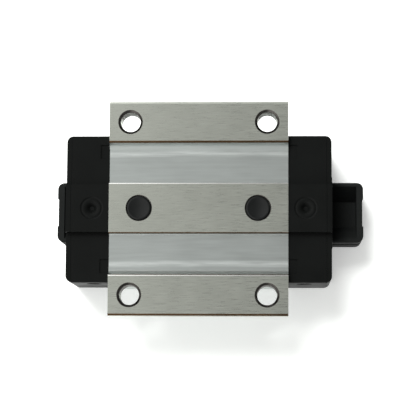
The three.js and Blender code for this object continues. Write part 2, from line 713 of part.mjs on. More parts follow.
function sidePortScrew() {
  const { sink, length, socket } = SIDE_PORT_SCREW;
  const top = CAP_HALF - sink;
  const body = rodY(PORT_SCREW_RADIUS, top - length, top, SIDE_PORT_X, SIDE_PORT_Z);
  const hexagon = rodY(PORT_SOCKET_RADIUS, top - socket, top + PAST, SIDE_PORT_X, SIDE_PORT_Z, HEX_SIDES);
  return body.subtract(hexagon);
}

// ---------------------------------------------------------------- materials

function material(color, roughness, metalness) {
  return new THREE.MeshStandardMaterial({ color, roughness, metalness });
}

const groundSteel = () => material(0xa3a59f, 0.35, 0.9);
const hardenedSteel = () => material(0xb9bbbb, 0.22, 1);
const ballSteel = () => material(0xd4d6d8, 0.1, 1);
const blackOxideSteel = () => material(0x24221f, 0.4, 0.8);
const capPlastic = () => material(0x1d1e1d, 0.6, 0);
const plugPlastic = () => material(0x1a1b1b, 0.45, 0);
const arborPlastic = () => material(0x171818, 0.5, 0);
const guidePlastic = () => material(0xd8d6cc, 0.55, 0);
const sealRubber = () => material(0x131313, 0.75, 0);
const oiledFelt = () => material(0x9a8c6a, 0.95, 0);

// ---------------------------------------------------------------- assembly

const carriage = new THREE.Group();

function place(name, solid, finish, end = 1, side = 1) {
  const mesh = new THREE.Mesh(toGeometry(solid, end, side), finish());
  mesh.name = name;
  carriage.add(mesh);
}

const ENDS = [["front", 1], ["rear", -1]];
const SIDES = [["left", 1], ["right", -1]];
const ROWS = [["upper", UPPER_ROW_Z], ["lower", LOWER_ROW_Z]];

place("carriage_body", carriageBody(), groundSteel);
place("transport_arbor", arbor(), arborPlastic);

for (const [sideName, side] of SIDES) {
  place(`bearing_plate_${sideName}`, bearingPlate(), hardenedSteel, 1, side);
  place(`ball_retainer_${sideName}`, ballRetainer(), guidePlastic, 1, side);
  place(`side_seal_${sideName}`, sideSeal(), sealRubber, 1, side);
  for (const [rowName, z] of ROWS) {
    place(`return_tube_${rowName}_${sideName}`, returnTube(z), guidePlastic, 1, side);
    place(`ball_chain_${rowName}_${sideName}`, ballChain(z), ballSteel, 1, side);
  }
}

for (const [endName, end] of ENDS) {
  place(`end_cap_${endName}`, endCap(), capPlastic, end);
  place(`cover_plate_${endName}`, coverPlate(), capPlastic, end);
  place(`end_seal_${endName}`, endSeal(), sealRubber, end);
  place(`centre_plug_${endName}`, centrePlug(), plugPlastic, end);
  place(`end_port_screw_${endName}`, endPortScrew(), blackOxideSteel, end);
  for (const [sideName, side] of SIDES) {
    place(`return_guide_${endName}_${sideName}`, returnGuide(), guidePlastic, end, side);
    place(`lube_insert_${endName}_${sideName}`, lubeInsert(), oiledFelt, end, side);
    place(`side_port_screw_${endName}_${sideName}`, sidePortScrew(), blackOxideSteel, end, side);
    place(`cap_screw_${endName}_upper_${sideName}`, capScrew(UPPER_SCREW), blackOxideSteel, end, side);
    place(`cap_screw_${endName}_lower_${sideName}`, capScrew(LOWER_SCREW), blackOxideSteel, end, side);
  }
}

export default carriage;
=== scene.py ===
"""Linear guide carriage on its transport arbor: the fine surface around the CAD frame.

Shapes are made in millimetres in the part's frame (+X along the rail, +Y left, +Z up) and
scaled to metres as they become pieces. Front is +X, rear is -X, left is +Y, right is -Y.
"""
import math

import bmesh
import bpy
from mathutils import Matrix, Vector


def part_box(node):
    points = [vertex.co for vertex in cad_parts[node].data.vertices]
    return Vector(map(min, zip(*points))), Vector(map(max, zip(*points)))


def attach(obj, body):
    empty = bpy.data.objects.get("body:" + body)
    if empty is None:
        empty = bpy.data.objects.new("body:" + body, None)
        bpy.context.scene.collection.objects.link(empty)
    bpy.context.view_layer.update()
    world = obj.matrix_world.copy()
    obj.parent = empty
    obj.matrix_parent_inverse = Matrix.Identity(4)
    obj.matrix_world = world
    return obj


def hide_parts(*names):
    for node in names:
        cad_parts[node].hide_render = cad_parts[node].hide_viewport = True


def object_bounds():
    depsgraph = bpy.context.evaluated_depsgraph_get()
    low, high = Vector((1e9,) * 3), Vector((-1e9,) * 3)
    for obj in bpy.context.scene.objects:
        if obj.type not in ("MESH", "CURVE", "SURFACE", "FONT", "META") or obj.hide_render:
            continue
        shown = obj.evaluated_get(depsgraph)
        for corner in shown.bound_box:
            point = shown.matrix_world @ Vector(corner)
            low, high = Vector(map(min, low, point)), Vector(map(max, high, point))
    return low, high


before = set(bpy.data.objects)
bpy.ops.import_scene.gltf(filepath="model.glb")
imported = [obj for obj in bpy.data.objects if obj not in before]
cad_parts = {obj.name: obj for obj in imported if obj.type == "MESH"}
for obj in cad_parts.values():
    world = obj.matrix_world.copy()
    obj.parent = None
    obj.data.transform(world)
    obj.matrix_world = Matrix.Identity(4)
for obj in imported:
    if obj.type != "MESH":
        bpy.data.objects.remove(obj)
cad_box = [list(corner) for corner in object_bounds()]

MM = 0.001
ENDS = (("front", 1), ("rear", -1))
SIDES = (("left", 1), ("right", -1))
ROWS = (("upper", -8.0), ("lower", -13.2))


def box_mm(node):
    low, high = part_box(node)
    return low / MM, high / MM


# ------------------------------------------------------------------ sizes from the frame

BODY_LOW, BODY_HIGH = box_mm("carriage_body")
CAP_LOW, CAP_HIGH = box_mm("end_cap_front")
COVER_LOW, COVER_HIGH = box_mm("cover_plate_front")
SEAL_LOW, SEAL_HIGH = box_mm("end_seal_front")
ARBOR_LOW, ARBOR_HIGH = box_mm("transport_arbor")
PLATE_LOW, PLATE_HIGH = box_mm("bearing_plate_left")
PLUG_LOW, PLUG_HIGH = box_mm("centre_plug_front")

# Sizes inside those boxes; a chamfer's first number is its width
PAD_HALF = 5.5
PAD_CHAMFER, PAD_CHAMFER_DEPTH = 0.2, 0.14
FLANGE_CHAMFER, FLANGE_CHAMFER_DEPTH = 0.45, 0.32
GROOVE_FLOOR = -1.7
GROOVE_RADIUS = 2.2
GROOVE_RADIUS_Y = 12.35
PAD_FOOT = 0.35
FLANGE_BOTTOM = -5.2
BODY_HALF = 16.4
BODY_CORNER = 0.4
FOOT_CHAMFER = 1.1
CHANNEL_HALF = 7.9
SEAL_GROOVE_Y, SEAL_GROOVE_Z = 9.9, -18.4
RETAINER_Y, RETAINER_Z = 7.7, -6.2
CHANNEL_TOP_HALF, CHANNEL_TOP = 5.9, -6.9
HOLE_X, HOLE_Y = 15.0, 19.0
HOLE_RADIUS = 2.15
MOUTH_RADIUS, MOUTH_DEPTH = 2.7, 0.55
RELIEF_RADIUS, RELIEF_DEPTH = 2.4, 0.25
THREAD_DEPTH = 0.12
THREAD_PITCH = 0.8
THREAD_CREST = 0.35
CENTRE_HOLE_X, CENTRE_HOLE_DEPTH = 13.0, 5.8
PLUG_SEAT_RADIUS, PLUG_SEAT_DEPTH, PLUG_SEAT_EDGE = 2.75, 1.0, 0.15
ROW_Y, RETURN_Y = 8.05, 13.2
TURN_X = 20.4
TURN_Y = (ROW_Y + RETURN_Y) / 2
TURN_RADIUS = (RETURN_Y - ROW_Y) / 2
RETURN_BORE_RADIUS = 2.15
POCKET_RADIUS, POCKET_BOTTOM, POCKET_TOP = 4.325, -15.2, -6.0
BALL_RADIUS = 1.5875
BALLS_PER_LOOP = 28
RAIL_TOP, RAIL_HALF, RAIL_TOP_HALF, RACEWAY_RADIUS = -7.8, 7.5, 5.9, 1.65
CAP_TOP, CAP_BLOCK_HALF = -1.9, 5.25
CAP_TAPER_Z, CAP_FOOT_HALF = -17.6, 15.2
CAP_CORNER_RADIUS = 1.5
TOP_PORT_X, SIDE_PORT_X = 23.4, 23.1
SIDE_PORT_Z, END_PORT_Z = -5.6, -4.2
PORT_RADIUS = 1.5
CHANNEL_DEPTH, CHANNEL_LOW, CHANNEL_HIGH, CHANNEL_REACH = 0.9, -6.8, -5.8, 7.0
CLIP_NEAR, CLIP_FAR, CLIP_LENGTH, CLIP_DEPTH = 11.05, 14.15, 2.0, 0.3
SEAL_HALF, SEAL_TOP, SEAL_FACE = 9.6, -6.6, 28.6
UPPER_SCREW = {"y": 6.4, "z": -4.2, "shank": 1.2, "head": 1.9, "socket": 0.85}
LOWER_SCREW = {"y": 12.0, "z": -17.5, "shank": 0.95, "head": 1.7, "socket": 0.7}
SCREW_TIP, SCREW_SEAT, SCREW_TOP = 14.2, 28.45, 29.05
ARBOR_GROOVE_RADIUS, ARBOR_TOP_HALF, ARBOR_SHOULDER = 1.8, 6.3, 0.15
ARBOR_CORNER, ARBOR_WALL = 1.5, 1.5
ARBOR_RECESS_HALF, ARBOR_RECESS_DEPTH = 3.1, 0.22
ARBOR_POCKETS, ARBOR_POCKET_HALF, ARBOR_RIB, ARBOR_FLOOR = 4, 5.4, 1.2, 1.3
TROUGH_RIM_HALF, TROUGH_FLOOR_HALF, TROUGH_FLOOR = 5.85, 2.85, -13.5

# Finishes of the steel body, three of them painted light (painted shade in the holes, a painted dark
# reflection and a painted highlight on edges), and the painted highlight band in its two grooves
BODY_FINISHES = ("ground_steel", "drawn_steel", "painted_shade_hole", "painted_highlight_chamfer", "painted_reflection_edge")
STREAK_SHARE = 0.6
BAND_Y, BAND_HALF, BAND_WANDER = 12.15, 0.8, 0.3

# Camera, in millimetres, and the studio's light
VIEW_AIM = (2.12, -0.03, 0.0)
VIEW_DISTANCE = 360.0
VIEW_WIDTH = 90.62
VIEW_TILT = (math.sin(math.radians(2.34)), -math.sin(math.radians(6.82)))
VIEW_DIRECTION = Vector((*VIEW_TILT, math.sqrt(1 - VIEW_TILT[0] ** 2 - VIEW_TILT[1] ** 2)))
SKY_TINT = (1.0, 1.0, 0.985)
SKY_ALONG_Y = (
    (-1.00, 0.90),
    (-0.96, 1.02),
    (-0.72, 1.04),
    (-0.50, 1.04),
    (-0.30, 0.98),
    (-0.13, 0.74),
    (0.04, 0.66),
    (0.19, 0.86),
    (0.33, 1.00),
    (0.48, 0.88),
    (0.62, 0.74),
    (0.86, 0.80),
    (0.93, 1.30),
)
SKY_SLOPE_X = (-0.20, 0.02)
SKY_LEFT_RIGHT = (1.45, 0.28)
SKY_LENS = 0.3
SKY_LENS_EDGE, SKY_LENS_CORE = 0.99, 0.999
FLOOR_DROP = 0.05
FLOOR_GLOW = 0.38
FLOOR_HALF = 1.5
KEY_TILT = (-14, 27)
KEY_DISTANCE, KEY_SIZE, KEY_POWER = 0.7, 0.28, 6.5

# How shapes are made: edges sharper than EDGE_ANGLE are rounded, and BEYOND is how far a cutter
# reaches past the surface that it cuts
EDGE_RINGS = 2
EDGE_ANGLE = math.radians(32)
WELD_DISTANCE = 1e-6
RINGS_PER_PITCH = 6
BEYOND = 1


# ------------------------------------------------------------------ mesh helpers

def as_object(name, bm):
    bmesh.ops.recalc_face_normals(bm, faces=bm.faces)
    mesh = bpy.data.meshes.new(name)
    bm.to_mesh(mesh)
    bm.free()
    obj = bpy.data.objects.new(name, mesh)
    bpy.context.scene.collection.objects.link(obj)
    return obj


def turn_to(axis, a, b, run):
    """A point of a section (a, b) at a distance run along axis."""
    return {"x": (run, a, b), "y": (a, run, b), "z": (a, b, run)}[axis]


def prism(name, outline, low, high, axis):
    bm = bmesh.new()
    near = [bm.verts.new(turn_to(axis, a, b, low)) for a, b in outline]
    far = [bm.verts.new(turn_to(axis, a, b, high)) for a, b in outline]
    bm.faces.new(near)
    bm.faces.new(far)
    count = len(outline)
    for i in range(count):
        j = (i + 1) % count
        bm.faces.new((near[i], near[j], far[j], far[i]))
    return as_object(name, bm)


def block(name, x0, x1, y0, y1, z0, z1):
    return prism(name, [(x0, y0), (x1, y0), (x1, y1), (x0, y1)], z0, z1, "z")


def turned(name, profile, axis, centre=(0, 0, 0), steps=48):
    """A profile of (radius, distance) points, from axis to axis, turned about an axis."""
    bm = bmesh.new()
    rings = []
    for radius, run in profile:
        ring = []
        for k in range(steps):
            angle = 2 * math.pi * k / steps
            place = turn_to(axis, radius * math.cos(angle), radius * math.sin(angle), run)
            ring.append(bm.verts.new(Vector(place) + Vector(centre)))
        rings.append(ring)
    for near, far in zip(rings, rings[1:]):
        for k in range(steps):
            bm.faces.new((near[k], near[(k + 1) % steps], far[(k + 1) % steps], far[k]))
    bmesh.ops.remove_doubles(bm, verts=bm.verts, dist=1e-5)
    return as_object(name, bm)


def rod(name, radius, low, high, axis, centre, steps=48):
    """centre gives the two coordinates across the axis, in X, Y, Z order."""
    place = turn_to(axis, centre[0], centre[1], 0)
    return turned(name, [(0, low), (radius, low), (radius, high), (0, high)], axis, place, steps)


def threaded(name, minor, depth, pitch, low, high, axis, centre, steps=40, crest=0.0):
    """A rod with a helical ridge; crest is the share of each pitch left at the minor radius."""
    levels = max(2, round((high - low) / pitch * RINGS_PER_PITCH))
    bm = bmesh.new()
    rings = []
    for i in range(levels + 1):
        run = low + (high - low) * i / levels
        ring = []
        for k in range(steps):
            turn = k / steps
            phase = (run / pitch + turn) % 1
            ridge = max(0, 1 - abs(2 * phase - 1) - crest) / (1 - crest)
            radius = minor + depth * ridge
            angle = 2 * math.pi * turn
            a = centre[0] + radius * math.cos(angle)
            b = centre[1] + radius * math.sin(angle)
            ring.append(bm.verts.new(turn_to(axis, a, b, run)))
        rings.append(ring)
    bm.faces.new(rings[0])
    bm.faces.new(rings[-1])
    for near, far in zip(rings, rings[1:]):
        for k in range(steps):
            bm.faces.new((near[k], near[(k + 1) % steps], far[(k + 1) % steps], far[k]))
    return as_object(name, bm)


def arc(a, b, radius, start, end, steps=10):
    """Points on a circle, by angle in degrees."""
    angles = [math.radians(start + (end - start) * i / steps) for i in range(steps + 1)]
    return [(a + radius * math.cos(t), b + radius * math.sin(t)) for t in angles]


def symmetric(half):
    """A whole outline from its left half."""
    return half + [(-a, b) for a, b in reversed(half)]


def combine(obj, others, operation):
    """Cuts others from obj, or joins them to it, and removes them."""
    for other in others:
        modifier = obj.modifiers.new(operation.lower(), "BOOLEAN")
        modifier.operation = operation
        modifier.solver = "EXACT"
        modifier.object = other
    graph = bpy.context.evaluated_depsgraph_get()
    mesh = bpy.data.meshes.new_from_object(obj.evaluated_get(graph))
    obj.modifiers.clear()
    obj.data = mesh
    for other in others:
        bpy.data.objects.remove(other)
    return obj


def cut(obj, *others):
    return combine(obj, others, "DIFFERENCE")


def join(obj, *others):
    return combine(obj, others, "UNION")


def bevel_edges(obj, width):
    """Rounds the sharp edges by a small radius, in millimetres."""
    bevel = obj.modifiers.new("edges", "BEVEL")
    bevel.width = width * MM
    bevel.segments = EDGE_RINGS
    bevel.limit_method = "ANGLE"
    bevel.angle_limit = EDGE_ANGLE
    return bevel


def soften(obj, width):
    """Rounds the sharp edges and shades the rest smooth."""
    obj.data.shade_smooth()
    obj.data.set_sharp_from_angle(angle=EDGE_ANGLE)
    bevel = bevel_edges(obj, width)
    bevel.use_clamp_overlap = True
    bevel.harden_normals = True


def place(obj, name, body, nodes, slot, material, end=1, side=1, edge=0.08, shared=False):
    """Makes obj a piece: mirrored to its end and side, in metres, with its finish."""
    mesh = obj.data.copy()
    mesh.transform(Matrix.Diagonal((end * MM, side * MM, MM, 1)))
    if end * side < 0:
        mesh.flip_normals()
    piece = bpy.data.objects.new(name, mesh)
    mesh.name = name
    bpy.context.scene.collection.objects.link(piece)
    if len(mesh.materials) == 0:
        mesh.materials.append(material)
    if edge:
        soften(piece, edge)
    else:
        mesh.shade_smooth()
    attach(piece, body)
    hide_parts(*nodes)
    if not shared:
        bpy.data.objects.remove(obj)
    return piece


# ------------------------------------------------------------------ materials

def node_material(name):
    material = bpy.data.materials.new(name)
    material.use_nodes = True
    tree = material.node_tree
    return material, tree, tree.nodes["Principled BSDF"]


def stretched(tree, scale):
    """Object coordinates scaled by (x, y, z), in features per metre."""
    coordinates = tree.nodes.new("ShaderNodeTexCoord")
    mapping = tree.nodes.new("ShaderNodeMapping")
    mapping.inputs["Scale"].default_value = scale
    tree.links.new(coordinates.outputs["Object"], mapping.inputs["Vector"])
    return mapping.outputs["Vector"]


def noise(tree, scale, detail=3.0, roughness=0.55):
    texture = tree.nodes.new("ShaderNodeTexNoise")
    texture.inputs["Scale"].default_value = 1.0
    texture.inputs["Detail"].default_value = detail
    texture.inputs["Roughness"].default_value = roughness
    tree.links.new(stretched(tree, scale), texture.inputs["Vector"])
    return texture.outputs["Fac"]


def spread(tree, value, low, high, source_low=0.3, source_high=0.7):
    """A number between low and high that follows a noise value."""
    remap = tree.nodes.new("ShaderNodeMapRange")
    remap.inputs["From Min"].default_value = source_low
    remap.inputs["From Max"].default_value = source_high
    remap.inputs["To Min"].default_value = low
    remap.inputs["To Max"].default_value = high
    tree.links.new(value, remap.inputs["Value"])
    return remap.outputs["Result"]


def blend_colours(tree, value, dark, light):
    mix = tree.nodes.new("ShaderNodeMix")
    mix.data_type = "RGBA"
    mix.inputs["A"].default_value = (*dark, 1)
    mix.inputs["B"].default_value = (*light, 1)
    tree.links.new(spread(tree, value, 0, 1), mix.inputs["Factor"])
    return mix.outputs["Result"]


def add_bump(tree, shader, value, height):
    bump = tree.nodes.new("ShaderNodeBump")
    bump.inputs["Strength"].default_value = 1.0
    bump.inputs["Distance"].default_value = height * MM
    tree.links.new(value, bump.inputs["Height"])
    tree.links.new(bump.outputs["Normal"], shader.inputs["Normal"])


def calculate(tree, operation, *values):
    node = tree.nodes.new("ShaderNodeMath")
    node.operation = operation
    for socket, value in zip(node.inputs, values):
        if isinstance(value, (int, float)):
            socket.default_value = value
        else:
            tree.links.new(value, socket)
    return node.outputs["Value"]


def tint(tree, colour, amount, target):
    """Moves a colour towards target by an amount between 0 and 1."""
    mix = tree.nodes.new("ShaderNodeMix")
    mix.data_type = "RGBA"
    tree.links.new(colour, mix.inputs["A"])
    mix.inputs["B"].default_value = (*target, 1)
    tree.links.new(amount, mix.inputs["Factor"])
    return mix.outputs["Result"]


def specks(tree, colour):
    """A few small dark pits."""
    cells = tree.nodes.new("ShaderNodeTexVoronoi")
    cells.inputs["Scale"].default_value = 1.0
    tree.links.new(stretched(tree, (170, 230, 230)), cells.inputs["Vector"])
    pit = spread(tree, cells.outputs["Distance"], 0.5, 0.0, 0.006, 0.014)
    return tint(tree, colour, pit, (0.12, 0.11, 0.10))


def painted_groove_highlight(tree, colour):
    """A painted highlight: a bright band where the floor of each top groove turns up towards the
    flange.
    """
    where = tree.nodes.new("ShaderNodeTexCoord")
    split = tree.nodes.new("ShaderNodeSeparateXYZ")
    tree.links.new(where.outputs["Object"], split.inputs["Vector"])
    beside = calculate(tree, "SUBTRACT", calculate(tree, "ABSOLUTE", split.outputs["Y"]), BAND_Y * MM)
    wander = spread(tree, noise(tree, (45, 45, 45), 2.0), -BAND_WANDER * MM, BAND_WANDER * MM)
    distance = calculate(tree, "ABSOLUTE", calculate(tree, "ADD", beside, wander))
    strength = spread(tree, distance, 0.85, 0.0, 0.1 * MM, BAND_HALF * MM)
    broken = spread(tree, noise(tree, (170, 2600, 2600), 3.0), 0.35, 1.0)
    return tint(tree, colour, calculate(tree, "MULTIPLY", strength, broken), (0.95, 1.0, 0.98))


def metal(name, dark, light, rough, lines, bump_mm, mark=None):
    """Worked steel: streaks with their own density along X, Y and Z, in lines per metre."""
    material, tree, shader = node_material(name)
    shader.inputs["Metallic"].default_value = 1.0
    streaks = noise(tree, lines)
    patches = noise(tree, (90, 140, 140), 2.0)
    mottle = calculate(tree, "MULTIPLY_ADD", streaks, STREAK_SHARE,
                       calculate(tree, "MULTIPLY", patches, 1 - STREAK_SHARE))
    colour = blend_colours(tree, mottle, dark, light)
    if mark:
        colour = mark(tree, colour)
    tree.links.new(colour, shader.inputs["Base Color"])
    tree.links.new(spread(tree, streaks, *rough), shader.inputs["Roughness"])
    add_bump(tree, shader, streaks, bump_mm)
    return material


def plastic(name, dark, light, rough, grain_mm, bump_mm, specular=0.5):
    """Moulded plastic or rubber with a fine skin grain."""
    material, tree, shader = node_material(name)
    shader.inputs["Specular IOR Level"].default_value = specular
    density = 1 / (grain_mm * MM)
    grain = noise(tree, (density,) * 3, 2.0)
    clouds = noise(tree, (160, 160, 160), 3.0)
    tree.links.new(blend_colours(tree, clouds, dark, light), shader.inputs["Base Color"])
    tree.links.new(spread(tree, clouds, *rough), shader.inputs["Roughness"])
    add_bump(tree, shader, grain, bump_mm)
    return material


def ground_steel():
    return metal("ground_steel", (0.485, 0.504, 0.453), (0.59, 0.612, 0.552),
                 (0.24, 0.38), (300, 5200, 5200), 0.0014, specks)


# Drawn steel, with the painted highlight band in its grooves
def drawn_steel():
    return metal("drawn_steel", (0.50, 0.535, 0.52), (0.60, 0.64, 0.625),
                 (0.34, 0.44), (120, 1700, 1700), 0.0008, painted_groove_highlight)


# Dark steel for the walls and mouths of the holes: painted shade
def painted_shade_hole():
    return metal("painted_shade_hole", (0.085, 0.079, 0.074), (0.135, 0.126, 0.118),
                 (0.22, 0.36), (900, 900, 4000), 0.0008)


# Near-white steel for top chamfers that face +Y: a painted highlight
def painted_highlight_chamfer():
    return metal("painted_highlight_chamfer", (0.86, 0.87, 0.84), (0.97, 0.97, 0.95),
                 (0.10, 0.16), (300, 2500, 2500), 0.0004)


# Dark brown steel for top chamfers and pad walls that face -Y: a painted dark reflection
def painted_reflection_edge():
    return metal("painted_reflection_edge", (0.082, 0.046, 0.023), (0.140, 0.084, 0.046),
                 (0.20, 0.30), (260, 2500, 2500), 0.0004)


def hardened_steel():
    return metal("hardened_steel", (0.52, 0.52, 0.52), (0.62, 0.62, 0.62),
                 (0.14, 0.26), (80, 6000, 6000), 0.0006)


def ball_steel():
    return metal("ball_steel", (0.70, 0.71, 0.72), (0.76, 0.77, 0.78),
                 (0.05, 0.10), (900, 900, 900), 0.0001)


def black_oxide():
    return metal("black_oxide", (0.030, 0.028, 0.026), (0.055, 0.05, 0.045),
                 (0.30, 0.45), (1800, 1800, 1800), 0.001)


def cap_plastic():
    return plastic("cap_plastic", (0.0027, 0.0031, 0.0029), (0.0038, 0.0043, 0.0040),
                   (0.42, 0.55), 0.09, 0.004, 0.11)


def arbor_plastic():
    return plastic("arbor_plastic", (0.0092, 0.0101, 0.0097), (0.0112, 0.0122, 0.0118),
                   (0.58, 0.68), 0.12, 0.004, 0.08)


def plug_plastic():
    return plastic("plug_plastic", (0.0036, 0.0041, 0.0041), (0.0052, 0.0058, 0.0058),
                   (0.30, 0.40), 0.10, 0.003, 0.28)


def seal_rubber():
    return plastic("seal_rubber", (0.007, 0.007, 0.007), (0.010, 0.010, 0.010),
                   (0.60, 0.75), 0.07, 0.004, 0.2)


def guide_plastic():
    return plastic("guide_plastic", (0.62, 0.60, 0.53), (0.70, 0.68, 0.61),
                   (0.35, 0.48), 0.15, 0.002)


def oiled_felt():
    return plastic("oiled_felt", (0.22, 0.17, 0.09), (0.36, 0.29, 0.17),
                   (0.85, 0.98), 0.16, 0.06, 0.2)


FINISH = {make.__name__: make() for make in (
    ground_steel, drawn_steel, painted_shade_hole, painted_highlight_chamfer, painted_reflection_edge, hardened_steel, ball_steel,
    black_oxide, cap_plastic, arbor_plastic, plug_plastic, seal_rubber, guide_plastic, oiled_felt)}


# ------------------------------------------------------------------ shared outlines

def rail_half(radius, ridge, top, top_half, shoulder, bottom):
    """Left half of the rail's section from its top down, with a groove for each ball row."""
    upper, lower = ROWS[0][1], ROWS[1][1]
    start = 180 + math.degrees(math.asin((upper - shoulder) / radius))
    meet = math.degrees(math.acos((ridge - ROW_Y) / radius))
    return [
        (top_half, top),
        *arc(ROW_Y, upper, radius, start, 360 - meet),
        *arc(ROW_Y, lower, radius, meet, 360 - meet),
        (ridge, bottom),
    ]


def rail_with_gap(gap, bottom):
    return rail_half(RACEWAY_RADIUS - gap, RAIL_HALF + gap, RAIL_TOP + gap, RAIL_TOP_HALF + gap,
                     ROWS[0][1], bottom)


def cap_half_section():
    """Outside of an end cap, from the centre block's top down to its foot."""
    return [
        (CAP_BLOCK_HALF, CAP_HIGH.z),
        (CAP_BLOCK_HALF, CAP_TOP),
        *arc(CAP_HIGH.y - 0.4, CAP_TOP - 0.4, 0.4, 90, 0, 4),
        (CAP_HIGH.y, CAP_TAPER_Z),
        (CAP_FOOT_HALF, CAP_LOW.z),
    ]


# ------------------------------------------------------------------ steel body

def body_section():
    centre = GROOVE_FLOOR + GROOVE_RADIUS
    run_out = math.asin(-(centre + FLANGE_CHAMFER_DEPTH) / GROOVE_RADIUS)
    flange_inner = GROOVE_RADIUS_Y + GROOVE_RADIUS * math.cos(run_out) + FLANGE_CHAMFER
    flange, bottom, seat = BODY_HIGH.y, BODY_LOW.z, PLATE_HIGH.y + 0.05
    return symmetric([
        (PAD_HALF - PAD_CHAMFER, 0),
        (PAD_HALF, -PAD_CHAMFER_DEPTH),
        (PAD_HALF, GROOVE_FLOOR + PAD_FOOT),
        *arc(PAD_HALF + PAD_FOOT, GROOVE_FLOOR + PAD_FOOT, PAD_FOOT, 180, 270, 5),
        *arc(GROOVE_RADIUS_Y, centre, GROOVE_RADIUS, -90, math.degrees(run_out), 14),
        (flange_inner, 0),
        (flange - FLANGE_CHAMFER, 0),
        (flange, -FLANGE_CHAMFER_DEPTH),
        (flange, FLANGE_BOTTOM + FLANGE_CHAMFER_DEPTH),
        (flange - FLANGE_CHAMFER, FLANGE_BOTTOM),
        *arc(BODY_HALF + BODY_CORNER, FLANGE_BOTTOM - BODY_CORNER, BODY_CORNER, 90, 180, 4),
        (BODY_HALF, bottom + FOOT_CHAMFER),
        (BODY_HALF - FOOT_CHAMFER, bottom),
        (SEAL_GROOVE_Y, bottom),
        (SEAL_GROOVE_Y, SEAL_GROOVE_Z),
        (CHANNEL_HALF, SEAL_GROOVE_Z),
        (CHANNEL_HALF, PLATE_LOW.z - 0.05),
        (seat, PLATE_LOW.z - 0.05),
        (seat, PLATE_HIGH.z + 0.05),
        (RETAINER_Y, PLATE_HIGH.z + 0.05),
        (RETAINER_Y, RETAINER_Z),
        (CHANNEL_TOP_HALF, RETAINER_Z),
        (CHANNEL_TOP_HALF, CHANNEL_TOP),
    ])


def mounting_hole(x, y):
    """Cutters of a tapped corner hole: its thread, and its mouths above and below."""
    above, below, foot = BEYOND, FLANGE_BOTTOM - BEYOND, FLANGE_BOTTOM + RELIEF_DEPTH
    thread = threaded("thread", HOLE_RADIUS, THREAD_DEPTH, THREAD_PITCH, below, above, "z",
                      (x, y), 56, THREAD_CREST)
    mouth = [(0, -MOUTH_DEPTH), (HOLE_RADIUS, -MOUTH_DEPTH), (MOUTH_RADIUS, 0),
             (MOUTH_RADIUS, above), (0, above)]
    relief = [(0, below), (RELIEF_RADIUS, below), (RELIEF_RADIUS, FLANGE_BOTTOM),
              (HOLE_RADIUS, foot), (0, foot)]
    return [
        thread,
        turned("mouth", mouth, "z", (x, y, 0), 64),
        turned("relief", relief, "z", (x, y, 0), 64),
    ]


def centre_hole(x):
    """Cutter of a blind hole with a wider seat for its plug's head."""
    edge = PLUG_SEAT_RADIUS + PLUG_SEAT_EDGE
    profile = [
        (0, -CENTRE_HOLE_DEPTH),
        (HOLE_RADIUS, -CENTRE_HOLE_DEPTH),
        (HOLE_RADIUS, -PLUG_SEAT_DEPTH),
        (PLUG_SEAT_RADIUS, -PLUG_SEAT_DEPTH),
        (PLUG_SEAT_RADIUS, -PLUG_SEAT_EDGE),
        (edge, 0),
        (edge, BEYOND),
        (0, BEYOND),
    ]
    return turned("centre_hole", profile, "z", (x, 0, 0), 64)


def screw_bores():
    bores = []
    for end in (1, -1):
        inner, outer = sorted((end * (SCREW_TIP - 0.1), end * (BODY_HIGH.x + BEYOND)))
        for side in (1, -1):
            for screw in (UPPER_SCREW, LOWER_SCREW):
                bores.append(rod("bore", screw["shank"] + 0.05, inner, outer, "x",
                                 (side * screw["y"], screw["z"]), 24))
    return bores


def steel_body():
    half = BODY_HIGH.x
    body = prism("body", body_section(), -half, half, "x")
    cutters = [centre_hole(CENTRE_HOLE_X), centre_hole(-CENTRE_HOLE_X), *screw_bores()]
    for side in (1, -1):
        for _, z in ROWS:
            cutters.append(rod("return", RETURN_BORE_RADIUS, -half - BEYOND, half + BEYOND, "x",
                               (side * RETURN_Y, z)))
        for end in (1, -1):
            cutters += mounting_hole(end * HOLE_X, side * HOLE_Y)
    cut(body, *cutters)

    mesh = body.data
    mesh.materials.clear()
    for finish in BODY_FINISHES:
        mesh.materials.append(FINISH[finish])
    for face in mesh.polygons:
        face.material_index = body_zone(face.center, face.normal)
    place(body, "steel_body", "carriage", ["carriage_body"], "ground_steel", None, edge=0.06)


def body_zone(centre, normal):
    """The index in BODY_FINISHES of a face's finish, by where the face is on the body and which way it
    faces: painted shade in the holes, a painted dark reflection on top chamfers and pad walls facing
    -Y, and a painted highlight on top chamfers facing +Y.
    """
    y = abs(centre.y)
    to_corner_hole = math.hypot(abs(centre.x) - HOLE_X, y - HOLE_Y)
    to_centre_hole = math.hypot(abs(centre.x) - CENTRE_HOLE_X, y)
    in_hole = to_corner_hole < 3 or to_centre_hole < 2.9
    on_top_edge = centre.z > -FLANGE_CHAMFER and 0.5 < normal.z < 0.95
    on_pad_wall = y < PAD_HALF + 0.01 and -1.5 < centre.z < 0 and abs(normal.y) > 0.9
    in_groove = PAD_HALF - 0.01 < y < GROOVE_RADIUS_Y + GROOVE_RADIUS and -1.8 < centre.z < -0.001
    if abs(normal.x) > 0.9:
        finish = "ground_steel"
    # hole walls and mouths: painted shade
    elif in_hole and centre.z < -0.001 and abs(normal.z) < 0.999:
        finish = "painted_shade_hole"
    # top chamfers and pad walls facing -Y: painted dark reflection
    elif normal.y < 0 and (on_top_edge or on_pad_wall):
        finish = "painted_reflection_edge"
    # top chamfers facing +Y: painted highlight
    elif on_top_edge and y < HOLE_Y:
        finish = "painted_highlight_chamfer"
    elif in_groove or centre.z < FLANGE_BOTTOM + 0.01:
        finish = "drawn_steel"
    else:
        finish = "ground_steel"
    return BODY_FINISHES.index(finish)


